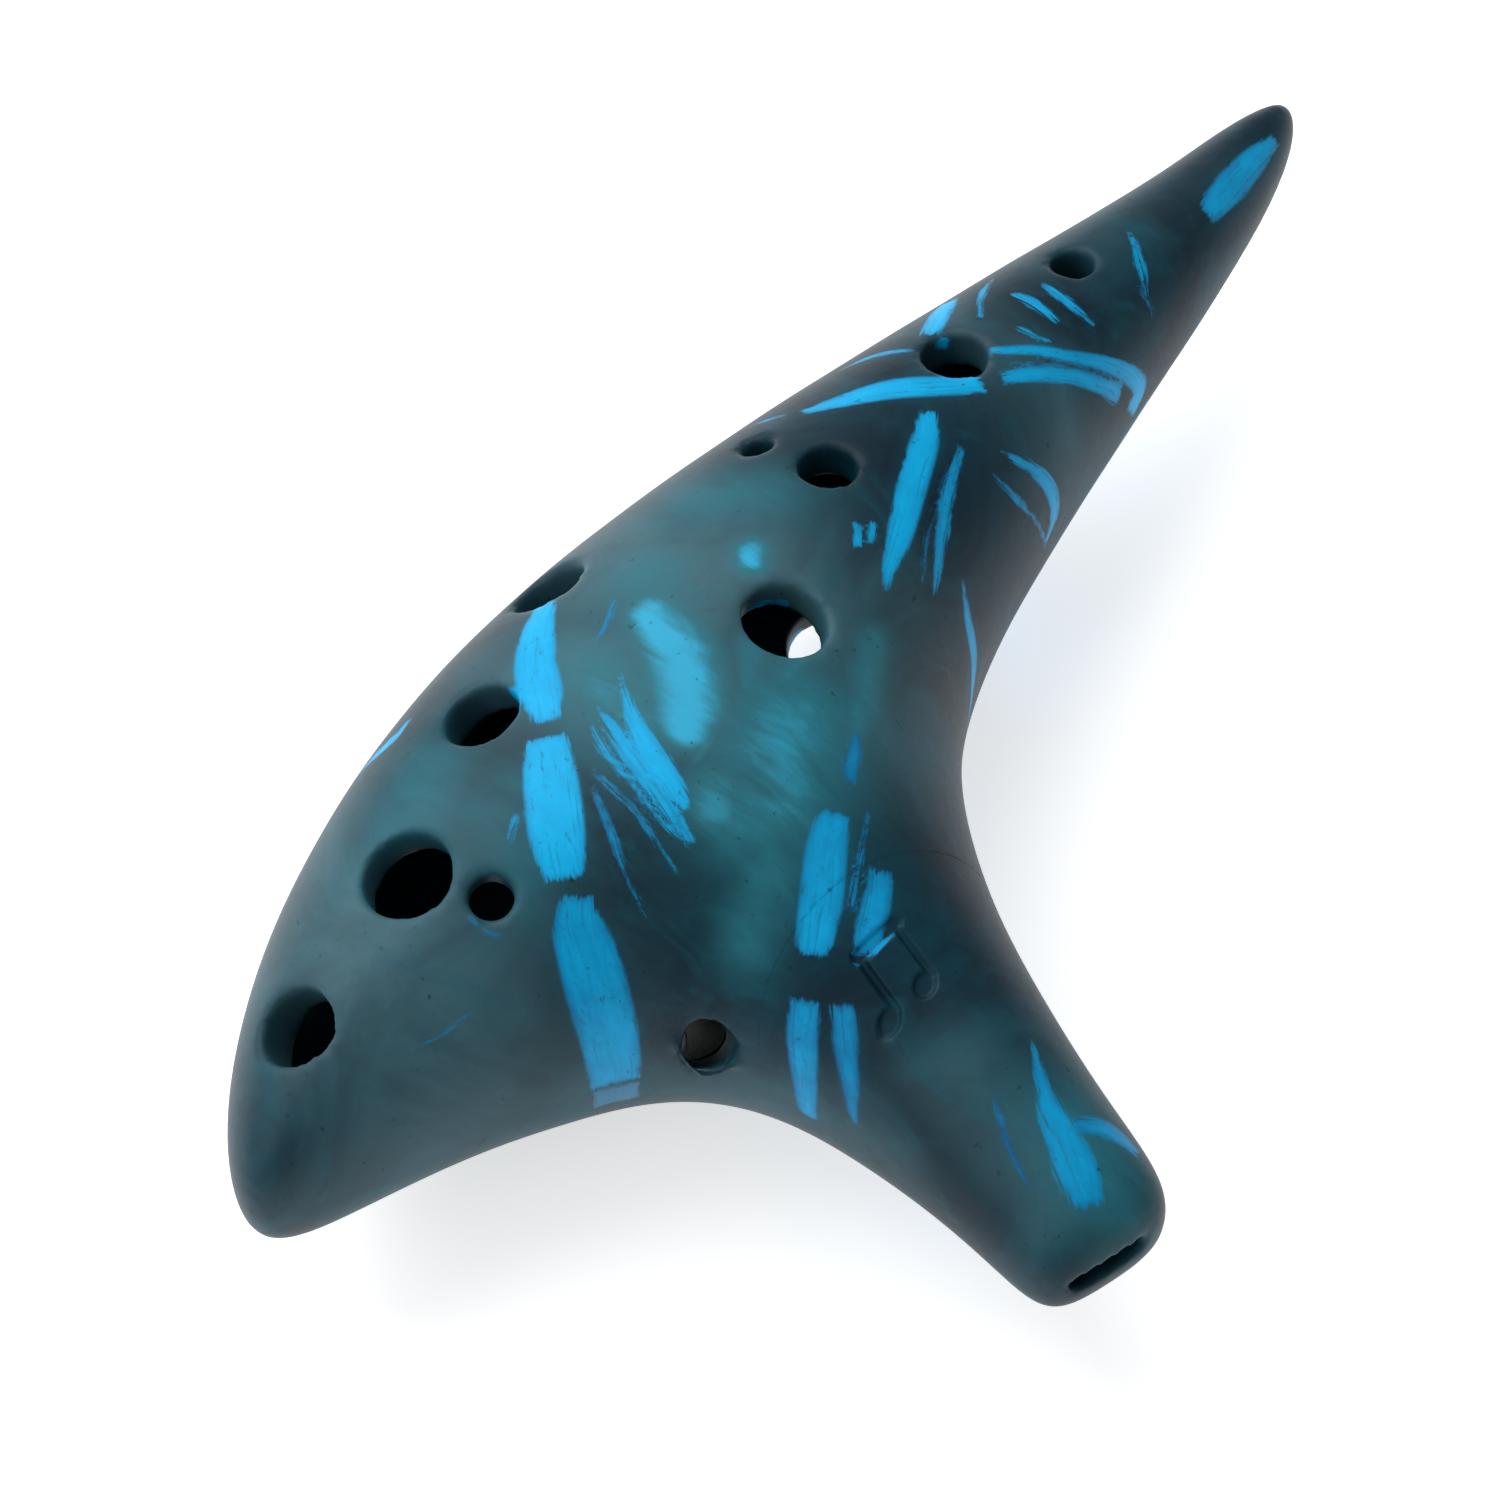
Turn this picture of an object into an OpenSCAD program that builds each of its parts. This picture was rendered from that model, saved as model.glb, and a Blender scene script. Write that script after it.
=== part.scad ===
// Twelve-hole transverse ocarina, resting on its back, made of clay pieces luted together.
// +Z points out of the finger-hole face, +X to the tail and -Y to the mouth.

/* [Body] */
// Height of the parting plane between the two shells above the resting surface
parting_z = 22; // [20:0.5:24]
// Depth of the front shell above the parting plane
front_depth = 24; // [22:0.5:26]
// Thickness of the shell walls
wall = 4.5; // [4:0.1:5.5]
// Fullness of a cross section, from lens-shaped (0.5) to boxy (0.35)
fullness = 0.42; // [0.38:0.01:0.5]
// How much the sections flatten towards the tail
tail_taper = 0.5; // [0.4:0.01:0.55]
// How much the sections flatten towards the fat end
fat_taper = 0.25; // [0.1:0.01:0.35]
// How much the beak is thinned at the mouth
beak_taper = 0.4; // [0.3:0.01:0.45]

/* [Windway] */
// Width of the windway slot
slot_width = 9.2; // [8:0.1:10]
// Height of the windway slot
slot_height = 1.8; // [1.4:0.1:2.2]
// Length of the windway from the mouth to the window
slot_length = 36; // [34:0.5:38]
// Downward slope of the windway
slot_slope = 19; // [17:0.5:21]
// Length of the window between the windway exit and the labium edge
window_length = 5.5; // [5:0.1:6]
// Length of the ramp behind the labium edge
ramp_length = 11; // [10:0.5:12]
// Width of the labium piece across the window
labium_width = 12; // [11.5:0.1:13]

/* [Strap hole] */
// Diameter of the strap hole
strap_diameter = 5.4; // [4.8:0.1:5.8]
// Diameter of the clay post around the strap hole
lug_diameter = 11; // [10:0.1:12]

/* [Seam coil] */
// How far the seam coil stands off the inner wall
coil_depth = 2.4; // [1.8:0.1:3]

/* [Hidden] */

glaze = "#24343c";
bare_clay = "#1c2a2c";

// Control polygon of the plan outline, a closed cubic B-spline, clockwise from the tail tip
outline_control = [
    [96, 25.5], [87, 28.5], [73, 30.5], [54, 35], [31.5, 40.5], [8.5, 45.5], [-15, 49.5],
    [-38.5, 50.5], [-58, 47.5], [-77, 41], [-90.5, 32], [-97, 23], [-85, 18], [-75, 14.5],
    [-63, 8], [-50, -1], [-49, -21], [-51.5, -38], [-53.5, -46.5], [-45, -49], [-36, -51.5],
    [-31.5, -40], [-24, -22.5], [-14.5, -7.5], [-1, 4], [21.5, 9.5], [50, 13.5], [78, 17],
    [92, 21]
];
// Highest point of the crown, from which the plan is swept radially
crown_xy = [-32, 19.5];
samples_per_span = 4;
rings = 13;
halvings = 14;
bore_fn = 48;
eps = 0.01;

// Reach of the three tapers along the plan
tail_reach = 112;
fat_reach = 62;
beak_from_y = 8;
beak_to_y = -46;

// Finger holes: plan position on the front, diameter, direction and angle of lean
finger_holes = [
    [[-79.5, 30.5], 8.4, 137, 32],
    [[-61, 30.5], 9.6, 143, 17],
    [[-58, 21.5], 4.8, -142, 18],
    [[-41.5, 36.5], 8.2, 103, 24],
    [[-22, 43.5], 8.4, 85, 44],
    [[-13.5, 17.5], 9.2, -43, 13],
    [[7, 27.5], 6.2, 32, 11],
    [[6, 36.5], 3.4, 72, 28],
    [[30.5, 27.5], 7.2, 38, 12],
    [[52, 26.5], 4.8, 38, 12]
];
// Thumb holes on the back, listed the same way
thumb_holes = [
    [[-58, 27], 9.4, 170, 10],
    [[7.5, 27], 9, 20, 12]
];
hole_reach = 9;

// Mouth of the windway and its heading in plan, from the mouth to the chamber
mouth = [-45.7, -48.3, 23.5];
slot_heading = 78;
window_width = slot_width + 0.3;
edge_drop = 0.4;
ramp_slope = 16;
trim_slope = 12;
cut_size = 80;

// Strap hole: where it enters the crook and how its axis leans
strap_entry = [-51.6, -1.6, 27.4];
strap_heading = 240;
strap_lean = 36;
strap_reach = 80;

// Closed uniform cubic B-spline
function blend(a, b, c, d, u) =
    (pow(1 - u, 3) * a + (3 * pow(u, 3) - 6 * u * u + 4) * b
    + (-3 * pow(u, 3) + 3 * u * u + 3 * u + 1) * c + pow(u, 3) * d) / 6;
function closed_curve(p, steps) = [
    for (i = [0 : len(p) - 1], k = [0 : steps - 1])
        blend(p[(i + len(p) - 1) % len(p)], p[i], p[(i + 1) % len(p)], p[(i + 2) % len(p)], k / steps)
];
outline = closed_curve(outline_control, samples_per_span);
count = len(outline);

// Generalised depth of a point inside the outline: the half-width of a long strip at its middle,
// falling to zero on the edge. It is the full turn over the sum of (angle seen / distance).
function edge_term(a, b) =
    let (turn = abs(a[0] * b[1] - a[1] * b[0]), away = turn / norm(b - a))
    away < 0.0001 ? abs(1 / norm(a) - 1 / norm(b)) * 180 / PI : atan2(turn, a * b) / away;
function total(v) = v * [for (x = v) 1];
function plan_depth(q) =
    360 / total([for (j = [0 : count - 1]) edge_term(outline[j] - q, outline[(j + 1) % count] - q)]);
crown_depth = plan_depth(crown_xy);

// Height scale over the plan: full at the crown, less along the tail, the fat end and the beak
function ramp(a, b, x) = let (t = min(1, max(0, (x - a) / (b - a)))) t * t * (3 - 2 * t);
function scale_at(q) =
    (1 - tail_taper * pow(max(0, (q[0] - crown_xy[0]) / tail_reach), 2)
    - fat_taper * pow(max(0, (crown_xy[0] - q[0]) / fat_reach), 2))
    * (1 - beak_taper * ramp(beak_from_y, beak_to_y, q[1]));
// Share of the full height reached at a plan point, where the surface starts at depth d0
function rise(q, d, d0) = pow(max(0, d - d0) / (crown_depth - d0), fullness) * scale_at(q);

// The chamber starts where the generalised depth is twice the wall
wall_depth = 2 * wall;
function chamber_edge(p, lo, hi, n) =
    let (mid = (lo + hi) / 2)
    n == 0 ? crown_xy + (p - crown_xy) * mid
    : plan_depth(crown_xy + (p - crown_xy) * mid) < wall_depth ? chamber_edge(p, lo, mid, n - 1)
    : chamber_edge(p, mid, hi, n - 1);
chamber_outline = [for (p = outline) chamber_edge(p, 0, 1, halvings)];

// Rings of plan points from an edge curve in to the crown, with the share of full height
function ring_grid(edge, d0) = [
    for (i = [0 : rings - 1]) [
        for (p = edge)
            let (q = crown_xy + (p - crown_xy) * cos(90 * i / rings))
            [q[0], q[1], i == 0 ? 0 : rise(q, plan_depth(q), d0)]
    ]
];
outer_grid = ring_grid(outline, 0);
inner_grid = ring_grid(chamber_outline, wall_depth);

// Points of one half surface; reach is its signed height above the parting plane at the crown
function lifted(grid, reach) =
    [for (row = grid, p = row) [p[0], p[1], parting_z + p[2] * reach]];
function crown_point(reach) = [[crown_xy[0], crown_xy[1], parting_z + reach]];

// Triangles of one half surface whose first point is at start, wound for a surface facing up
function ring_faces(start) = concat(
    [for (i = [0 : rings - 2], j = [0 : count - 1])
        let (k = (j + 1) % count, a = start + i * count, b = a + count)
        each [[a + j, b + j, b + k], [a + j, b + k, a + k]]],
    [for (j = [0 : count - 1])
        let (k = (j + 1) % count, a = start + (rings - 1) * count)
        [a + j, start + rings * count, a + k]]
);
function flipped(faces) = [for (f = faces) [f[2], f[1], f[0]]];
surface_points = rings * count + 1;

back_depth = parting_z;
// Half shell: outer surface, chamber surface and the flat rim between them
module half_shell(reach) {
    inner_reach = reach > 0 ? reach - wall : reach + wall;
    points = concat(lifted(outer_grid, reach), crown_point(reach),
        lifted(inner_grid, inner_reach), crown_point(inner_reach));
    rim = [for (j = [0 : count - 1])
        let (k = (j + 1) % count, a = surface_points)
        each [[j, k, a + k], [j, a + k, a + j]]];
    faces = concat(ring_faces(0), flipped(ring_faces(surface_points)), rim);
    polyhedron(points, reach > 0 ? faces : flipped(faces));
}

// Closed solid between a front and a back half surface that share their edge
module closed_form(grid, front_reach, back_reach) {
    points = concat(lifted(grid, front_reach), crown_point(front_reach),
        lifted([for (i = [1 : rings - 1]) grid[i]], -back_reach), crown_point(-back_reach));
    // back points follow the front ones, but the edge ring is shared
    function back_index(f) = [for (v = f) v < count ? v : v - count + surface_points];
    polyhedron(points, concat(ring_faces(0), [for (f = flipped(ring_faces(0))) back_index(f)]));
}
module body_form() closed_form(outer_grid, front_depth, back_depth);
module chamber_form() closed_form(inner_grid, front_depth - wall, back_depth - wall);

// Frame of the windway: x runs from the mouth to the chamber, z out of the front
module at_windway() translate(mouth) rotate([0, 0, slot_heading]) rotate([0, slot_slope, 0]) children();
// Everything on the mouth's side of the windway exit
module beak_space() at_windway() translate([slot_length - cut_size, -cut_size / 2, -cut_size / 2])
    cube(cut_size);
module slab(z_low, z_high, y_low, y_high) at_windway()
    translate([slot_length - cut_size, y_low, z_low]) cube([cut_size, y_high - y_low, z_high - z_low]);

// A drilled hole through the front (side 1) or the back (side -1)
module hole(entry, diameter, heading, lean, side) {
    reach = side > 0 ? front_depth : -back_depth;
    z = parting_z + reach * rise(entry, plan_depth(entry), 0);
    translate([entry[0], entry[1], z]) rotate([0, 0, heading]) rotate([0, side > 0 ? lean : 180 - lean, 0])
        cylinder(d = diameter, h = 2 * hole_reach, center = true, $fn = bore_fn);
}
module holes(list, side) for (h = list) hole(h[0], h[1], h[2], h[3], side);

module at_strap() translate(strap_entry) rotate([0, 0, strap_heading]) rotate([0, strap_lean, 0]) children();
module strap_bore() at_strap()
    cylinder(d = strap_diameter, h = strap_reach, center = true, $fn = bore_fn);
module lug_space() at_strap()
    cylinder(d = lug_diameter, h = strap_reach, center = true, $fn = bore_fn);

// The window and the bed of the labium, through the back wall
module window_space() at_windway() translate([slot_length - eps, -window_width / 2, -cut_size / 2])
    cube([window_length + eps, window_width, cut_size / 2 + slot_height]);
module labium_bed() at_windway()
    translate([slot_length + window_length, -labium_width / 2, -cut_size / 4])
    cube([ramp_length, labium_width, cut_size / 4 + 2 * wall]);
// Outside ramp and inside trim, which meet at the sounding edge
module edge_cuts() at_windway() translate([slot_length + window_length, 0, -edge_drop]) {
    rotate([0, ramp_slope, 0]) translate([-eps, -window_width / 2, -cut_size / 4])
        cube([2 * ramp_length, window_width, cut_size / 4]);
    rotate([0, -trim_slope, 0]) translate([-wall, -labium_width, 0])
        cube([2 * ramp_length, 2 * labium_width, 2 * wall]);
}

module front_shell() color(glaze) difference() {
    half_shell(front_depth);
    beak_space();
    holes(finger_holes, 1);
    strap_bore();
}
module back_shell() color(glaze) difference() {
    half_shell(-back_depth);
    beak_space();
    window_space();
    labium_bed();
    holes(thumb_holes, -1);
    strap_bore();
}

module beak_roof() color(glaze) intersection() {
    body_form();
    slab(slot_height / 2, cut_size / 2, -cut_size / 2, cut_size / 2);
}
module beak_floor() color(glaze) intersection() {
    body_form();
    slab(-cut_size / 2, -slot_height / 2, -cut_size / 2, cut_size / 2);
}
module windway_cheek_left() color(glaze) intersection() {
    body_form();
    slab(-slot_height / 2, slot_height / 2, slot_width / 2, cut_size / 2);
}
module windway_cheek_right() color(glaze) intersection() {
    body_form();
    slab(-slot_height / 2, slot_height / 2, -cut_size / 2, -slot_width / 2);
}

module labium() color(glaze) difference() {
    intersection() {
        half_shell(-back_depth);
        labium_bed();
    }
    edge_cuts();
}

module strap_lug() color(bare_clay) difference() {
    intersection() {
        chamber_form();
        lug_space();
    }
    strap_bore();
}

// Roll of clay pressed along the inside of the joint, against both shells
function inward(j) =
    let (t = chamber_outline[(j + 1) % count] - chamber_outline[(j + count - 1) % count])
    [t[1], -t[0]] / norm(t);
module seam_coil() color(bare_clay) difference() {
    section = [for (j = [0 : count - 1])
        let (edge = inner_grid[0][j], near = inner_grid[1][j], in = inward(j) * coil_depth,
            up = near[2] * (front_depth - wall), down = near[2] * (back_depth - wall))
        each [
            [near[0], near[1], parting_z + up],
            [edge[0], edge[1], parting_z],
            [near[0], near[1], parting_z - down],
            [edge[0] + in[0], edge[1] + in[1], parting_z - down / 2],
            [edge[0] + in[0], edge[1] + in[1], parting_z + up / 2]
        ]];
    sides = 5;
    polyhedron(section, [
        for (j = [0 : count - 1], s = [0 : sides - 1])
            let (a = j * sides, b = ((j + 1) % count) * sides, t = (s + 1) % sides)
            each [[a + s, b + s, b + t], [a + s, b + t, a + t]]
    ]);
    beak_space();
    lug_space();
}

front_shell();
back_shell();
seam_coil();
beak_roof();
beak_floor();
windway_cheek_left();
windway_cheek_right();
labium();
strap_lug();
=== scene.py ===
"""Looks of a twelve-hole ocarina: smooth glazed clay skins over the packed clay pieces."""
import math

import bmesh
import bpy
import numpy as np
from mathutils import Matrix, Vector
from mathutils.kdtree import KDTree


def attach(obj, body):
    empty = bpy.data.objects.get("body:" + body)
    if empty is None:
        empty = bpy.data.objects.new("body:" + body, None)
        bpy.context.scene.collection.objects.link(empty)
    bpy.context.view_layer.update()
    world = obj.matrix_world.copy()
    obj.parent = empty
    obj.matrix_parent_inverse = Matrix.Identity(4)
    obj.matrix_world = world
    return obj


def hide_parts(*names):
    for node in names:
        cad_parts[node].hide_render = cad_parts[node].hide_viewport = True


MM = 0.001

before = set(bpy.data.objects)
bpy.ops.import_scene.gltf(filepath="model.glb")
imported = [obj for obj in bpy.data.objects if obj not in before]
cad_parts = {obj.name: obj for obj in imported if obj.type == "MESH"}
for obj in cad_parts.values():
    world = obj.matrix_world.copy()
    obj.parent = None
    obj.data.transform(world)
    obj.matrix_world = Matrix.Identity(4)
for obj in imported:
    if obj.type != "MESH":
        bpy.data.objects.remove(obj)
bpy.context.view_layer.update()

# ---------------------------------------------------------------- sizes, in millimetres
PARTING = 22.0
FRONT_DEPTH = 24.0
BACK_DEPTH = 22.0
WALL = 4.5
FULLNESS = 0.42
TAIL_TAPER, TAIL_REACH = 0.5, 112.0
FAT_TAPER, FAT_REACH = 0.25, 62.0
BEAK_TAPER, BEAK_FROM, BEAK_TO = 0.4, 8.0, -46.0
CROWN = np.array([-32.0, 19.5])

# Control polygon of the plan outline, a closed cubic B-spline from the tail tip round the back
OUTLINE = np.array([
    (96, 25.5), (87, 28.5), (73, 30.5), (54, 35), (31.5, 40.5), (8.5, 45.5), (-15, 49.5),
    (-38.5, 50.5), (-58, 47.5), (-77, 41), (-90.5, 32), (-97, 23), (-85, 18), (-75, 14.5),
    (-63, 8), (-50, -1), (-49, -21), (-51.5, -38), (-53.5, -46.5), (-45, -49), (-36, -51.5),
    (-31.5, -40), (-24, -22.5), (-14.5, -7.5), (-1, 4), (21.5, 9.5), (50, 13.5), (78, 17),
    (92, 21),
])

# Holes: plan position, diameter, heading and angle of lean
FINGER_HOLES = [
    ((-79.5, 30.5), 8.4, 137, 32), ((-61, 30.5), 9.6, 143, 17), ((-58, 21.5), 4.8, -142, 18),
    ((-41.5, 36.5), 8.2, 103, 24), ((-22, 43.5), 8.4, 85, 44), ((-13.5, 17.5), 9.2, -43, 13),
    ((7, 27.5), 6.2, 32, 11), ((6, 36.5), 3.4, 72, 28), ((30.5, 27.5), 7.2, 38, 12),
    ((52, 26.5), 4.8, 38, 12),
]
THUMB_HOLES = [((-58, 27), 9.4, 170, 10), ((7.5, 27), 9.0, 20, 12)]

MOUTH = Vector((-45.7, -48.3, 23.5))
SLOT_HEADING, SLOT_SLOPE = 78, 19
SLOT_WIDTH, SLOT_HEIGHT, SLOT_LENGTH = 9.2, 1.8, 36.0
WINDOW_LENGTH, WINDOW_WIDTH = 5.5, 9.5
RAMP_LENGTH, RAMP_SLOPE = 11.0, 16
TRIM_SLOPE, EDGE_DROP = 12, 0.4
LABIUM_WIDTH = 12.0

STRAP_ENTRY = Vector((-51.6, -1.6, 27.4))
STRAP_HEADING, STRAP_LEAN, STRAP_DIAMETER = 240, 36, 5.4
STRAP_LIP, STRAP_DEPTH = 0.55, 40

HOLE_FLARE, HOLE_DEPTH, HOLE_CLEAR = 0.55, 9.0, 6.0
CHEEK_HALF_HEIGHT, CHEEK_INNER = 0.7, 3.9
BED_LAP, BED_DEPTH = 0.6, 25
FAR = 140

VOXEL = 0.6
SWELL = 0.05
SHARP = math.radians(60)


# ---------------------------------------------------------------- the form of the body
def closed_curve(control, steps):
    """Closed uniform cubic B-spline through the control polygon, steps points to a span."""
    u = (np.arange(steps) / steps)[None, :, None]
    a, b, c, d = (np.roll(control, s, 0)[:, None, :] for s in (1, 0, -1, -2))
    points = ((1 - u) ** 3 * a + (3 * u**3 - 6 * u**2 + 4) * b
              + (-3 * u**3 + 3 * u**2 + 3 * u + 1) * c + u**3 * d) / 6
    return points.reshape(-1, 2)


DEPTH_CURVE = closed_curve(OUTLINE, 8)


def plan_depth(points):
    """Generalised depth inside the outline: the half-width of a long strip at its middle, nothing
    on the edge. It is the full turn over the sum of (angle seen / distance)."""
    following = np.roll(DEPTH_CURVE, -1, 0)
    depths = []
    for part in np.array_split(points, max(1, len(points) // 4000)):
        a = DEPTH_CURVE[None] - part[:, None]
        b = following[None] - part[:, None]
        turn = np.abs(a[..., 0] * b[..., 1] - a[..., 1] * b[..., 0])
        away = np.maximum(turn / np.linalg.norm(b - a, axis=-1), 1e-5)
        depths.append(2 * np.pi / (np.arctan2(turn, (a * b).sum(-1)) / away).sum(1))
    return np.concatenate(depths)


def smoothstep(start, end, x):
    t = np.clip((x - start) / (end - start), 0, 1)
    return t * t * (3 - 2 * t)


CROWN_DEPTH = plan_depth(CROWN[None])[0]


def rise(points, start=0.0):
    """Share of the full height at plan points, for a surface that starts at that depth."""
    x, y = points[:, 0], points[:, 1]
    tail = TAIL_TAPER * np.maximum(0, (x - CROWN[0]) / TAIL_REACH) ** 2
    fat = FAT_TAPER * np.maximum(0, (CROWN[0] - x) / FAT_REACH) ** 2
    beak = 1 - BEAK_TAPER * smoothstep(BEAK_FROM, BEAK_TO, y)
    share = np.maximum(0, plan_depth(points) - start) / (CROWN_DEPTH - start)
    return share**FULLNESS * (1 - tail - fat) * beak


def chamber_curve(edge):
    """Where the chamber starts on each ray from the crown, found by halving."""
    low, high = np.zeros(len(edge)), np.ones(len(edge))
    for _ in range(18):
        middle = (low + high) / 2
        shallow = plan_depth(CROWN + (edge - CROWN) * middle[:, None]) < 2 * WALL
        high = np.where(shallow, middle, high)
        low = np.where(shallow, low, middle)
    return CROWN + (edge - CROWN) * low[:, None]


def new_object(name, bm):
    """Object at the origin from a finished bmesh."""
    mesh = bpy.data.meshes.new(name)
    bm.to_mesh(mesh)
    bm.free()
    obj = bpy.data.objects.new(name, mesh)
    bpy.context.scene.collection.objects.link(obj)
    return obj


def form(name, edge, start, front, back, rows):
    """Closed solid swept in from an edge curve to the crown, on both sides of the parting."""
    around = len(edge)
    bm = bmesh.new()
    bmesh.ops.create_grid(bm, x_segments=around, y_segments=rows, size=0.5)
    place = np.array([v.co[:2] for v in bm.verts]) + 0.5
    column = np.rint(place[:, 0] * around).astype(int) % around
    turn = (place[:, 1] - 0.5) * np.pi
    plan = CROWN + (edge[column] - CROWN) * np.cos(turn)[:, None]
    on_edge = np.abs(turn) < 1e-6
    height = np.where(on_edge, 0, rise(plan, start)) * np.where(turn > 0, front, -back)
    for v, (x, y), z in zip(bm.verts, plan, height):
        v.co = (x * MM, y * MM, (PARTING + z) * MM)
    bmesh.ops.remove_doubles(bm, verts=bm.verts, dist=1e-6)
    bmesh.ops.recalc_face_normals(bm, faces=bm.faces)
    return new_object(name, bm)


# ---------------------------------------------------------------- cutting and joining
def bake(obj):
    """Applies an object's modifiers to its mesh."""
    graph = bpy.context.evaluated_depsgraph_get()
    mesh = bpy.data.meshes.new_from_object(obj.evaluated_get(graph))
    old = obj.data
    obj.modifiers.clear()
    obj.data = mesh
    bpy.data.meshes.remove(old)
    return obj


def boolean(obj, other, operation):
    """Cuts, joins or crosses an object with another, which is used up."""
    modifier = obj.modifiers.new(operation, "BOOLEAN")
    modifier.operation = operation
    modifier.solver = "MANIFOLD"
    modifier.object = other
    bake(obj)
    bpy.data.objects.remove(other)
    return obj


def frame_matrix(origin, heading, lean):
    """Frame of a leaned axis, from millimetres to metres."""
    return (Matrix.Scale(MM, 4) @ Matrix.Translation(origin)
            @ Matrix.Rotation(math.radians(heading), 4, "Z")
            @ Matrix.Rotation(math.radians(lean), 4, "Y"))


WINDWAY = frame_matrix(MOUTH, SLOT_HEADING, SLOT_SLOPE)


def block(low, high, matrix=WINDWAY):
    """Box between two corners, in the windway's frame unless another is given."""
    low, high = Vector(low), Vector(high)
    bm = bmesh.new()
    bmesh.ops.create_cube(bm, size=1)
    bmesh.ops.scale(bm, vec=high - low, verts=bm.verts)
    bmesh.ops.translate(bm, vec=(high + low) / 2, verts=bm.verts)
    bmesh.ops.transform(bm, matrix=matrix, verts=bm.verts)
    return new_object("block", bm)


def turned(profile, matrix, steps=64):
    """Solid turned about its own axis from a profile of (radius, height) pairs."""
    bm = bmesh.new()
    verts = [bm.verts.new((r, 0, z)) for r, z in profile]
    edges = [bm.edges.new(pair) for pair in zip(verts, verts[1:])]
    bmesh.ops.spin(bm, geom=verts + edges, cent=(0, 0, 0), axis=(0, 0, 1), angle=2 * math.pi,
                   steps=steps, use_merge=True)
    bmesh.ops.remove_doubles(bm, verts=bm.verts, dist=1e-4)
    bmesh.ops.recalc_face_normals(bm, faces=bm.faces)
    bmesh.ops.transform(bm, matrix=matrix, verts=bm.verts)
    return new_object("turned", bm)


def hole_cutter(plan, diameter, heading, lean, front):
    """Straight bore whose rim flares into the surface, as a wetted finger rounds it."""
    reach = FRONT_DEPTH if front else -BACK_DEPTH
    z = PARTING + reach * rise(np.array([plan], float))[0]
    r, lip = diameter / 2, HOLE_FLARE
    profile = [(0, -HOLE_DEPTH), (r, -HOLE_DEPTH), (r, -1.2 * lip), (r + 0.3 * lip, -0.45 * lip),
               (r + lip, 0.1), (r + 1.6 * lip, HOLE_CLEAR), (0, HOLE_CLEAR)]
    return turned(profile, frame_matrix((*plan, z), heading, lean if front else 180 - lean))


def chamber():
    """The air inside, which stops short of the windway."""
    edge = chamber_curve(closed_curve(OUTLINE, 6))
    air = form("chamber", edge, 2 * WALL, FRONT_DEPTH - WALL, BACK_DEPTH - WALL, 60)
    return boolean(air, block((-60, -60, -60), (SLOT_LENGTH, 60, 60)), "DIFFERENCE")


def clay_body():
    """The whole instrument as one solid with flared hole rims, before it is softened and parted
    into its pieces.
    """
    clay = form("clay", closed_curve(OUTLINE, 14), 0, FRONT_DEPTH, BACK_DEPTH, 180)
    boolean(clay, chamber(), "DIFFERENCE")
    half_width, half_height = SLOT_WIDTH / 2, SLOT_HEIGHT / 2
    window_end = SLOT_LENGTH + WINDOW_LENGTH
    cutters = [
        block((-10, -half_width, -half_height), (SLOT_LENGTH + 1, half_width, half_height)),
        block((SLOT_LENGTH, -WINDOW_WIDTH / 2, -30), (window_end, WINDOW_WIDTH / 2, SLOT_HEIGHT)),
    ]
    at_edge = WINDWAY @ Matrix.Translation((window_end, 0, -EDGE_DROP))
    cutters.append(block((-0.01, -WINDOW_WIDTH / 2, -20), (22, WINDOW_WIDTH / 2, 0),
                         at_edge @ Matrix.Rotation(math.radians(RAMP_SLOPE), 4, "Y")))
    cutters.append(block((-4.5, -LABIUM_WIDTH / 2, 0), (RAMP_LENGTH, LABIUM_WIDTH / 2, 9),
                         at_edge @ Matrix.Rotation(math.radians(-TRIM_SLOPE), 4, "Y")))
    strap = frame_matrix(STRAP_ENTRY, STRAP_HEADING, STRAP_LEAN)
    radius = STRAP_DIAMETER / 2
    lip = [(radius + 0.5 + STRAP_LIP * math.cos(a), STRAP_LIP * math.sin(a) + 0.05)
           for a in np.linspace(0, 2 * math.pi, 17)]
    boolean(clay, turned(lip, strap), "UNION")
    cutters.append(turned([(0, -STRAP_DEPTH), (radius, -STRAP_DEPTH), (radius, -1),
                           (radius + 0.15, 1.2), (radius + 0.5, 2), (0, 2)], strap))
    cutters += [hole_cutter(*hole, True) for hole in FINGER_HOLES]
    cutters += [hole_cutter(*hole, False) for hole in THUMB_HOLES]
    for cutter in cutters:
        boolean(clay, cutter, "DIFFERENCE")
    return clay


def soften(clay):
    """Voxel remesh and smoothing round every edge as slip, sponge and glaze do."""
    remesh = clay.modifiers.new("slip", "REMESH")
    remesh.mode = "VOXEL"
    remesh.voxel_size = VOXEL * MM
    smooth = clay.modifiers.new("sponge", "SMOOTH")
    smooth.factor = 0.5
    smooth.iterations = 8
    return bake(clay)


def points_of(mesh):
    flat = np.empty(len(mesh.vertices) * 3, np.float32)
    mesh.vertices.foreach_get("co", flat)
    return flat.reshape(-1, 3).astype(float) / MM


def normals_of(mesh):
    flat = np.empty(len(mesh.vertices) * 3, np.float32)
    mesh.vertices.foreach_get("normal", flat)
    return flat.reshape(-1, 3).astype(float)


def put_points(mesh, points):
    mesh.vertices.foreach_set("co", (points * MM).astype(np.float32).ravel())
    mesh.update()


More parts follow.
